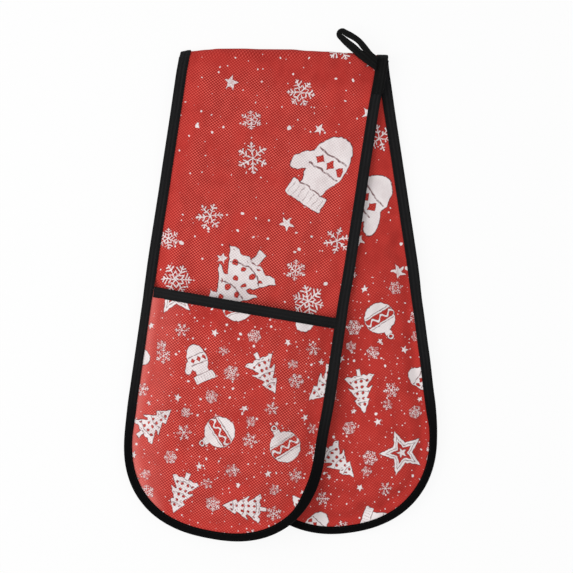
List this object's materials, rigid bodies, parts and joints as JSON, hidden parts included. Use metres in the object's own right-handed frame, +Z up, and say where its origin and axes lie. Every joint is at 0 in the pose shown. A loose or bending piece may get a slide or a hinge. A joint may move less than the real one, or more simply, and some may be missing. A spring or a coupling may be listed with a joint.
{
  "type": "double oven glove",
  "caption": "Padded double oven glove: a quilted strip with a hand pocket at each rounded end, bound edges and a hanging loop, folded once across the middle and lying flat.",
  "frame": {"origin": "middle of the footprint, on the surface the glove lies on", "axes": "+X to the side the back leg leans to, +Y from the hand ends up to the fold, +Z up from the surface"},
  "size_m": [0.2794, 0.4516, 0.036],
  "materials": {
    "printed_cloth": "woven polyester, red with a white winter print",
    "wadding": "needled polyester wadding",
    "lining": "plain cotton lining",
    "binding_tape": "black woven bias tape"
  },
  "bodies": {
    "back_leg": {"back_inner_cover": "printed_cloth", "back_wadding": "wadding", "back_outer_cover": "printed_cloth", "back_pocket_lining": "lining", "back_pocket_wadding": "wadding", "back_pocket_cover": "printed_cloth", "back_pocket_mouth_binding": "binding_tape", "back_edge_binding": "binding_tape", "fold_inner_cover": "printed_cloth", "fold_wadding": "wadding", "fold_outer_cover": "printed_cloth", "fold_binding_left": "binding_tape", "fold_binding_right": "binding_tape"},
    "front_leg": {"front_inner_cover": "printed_cloth", "front_wadding": "wadding", "front_outer_cover": "printed_cloth", "front_pocket_lining": "lining", "front_pocket_wadding": "wadding", "front_pocket_cover": "printed_cloth", "front_pocket_mouth_binding": "binding_tape", "front_edge_binding": "binding_tape", "binding_lap": "binding_tape"},
    "loop": {"hanging_loop": "binding_tape"}
  },
  "joints": [
    {"name": "fold_hinge", "type": "hinge", "parent": "back_leg", "child": "front_leg", "pos_m": [0, 0.19992, 0.0056], "axis": [-1, 0, 0], "range_deg": [0, 172], "deforming": ["fold_inner_cover", "fold_wadding", "fold_outer_cover", "fold_binding_left", "fold_binding_right"]},
    {"name": "loop_swing", "type": "hinge", "parent": "front_leg", "child": "loop", "pos_m": [0.08191, 0.19517, 0.0128], "axis": [0.1461, 0.9893, 0], "range_deg": [0, 165]}
  ]
}
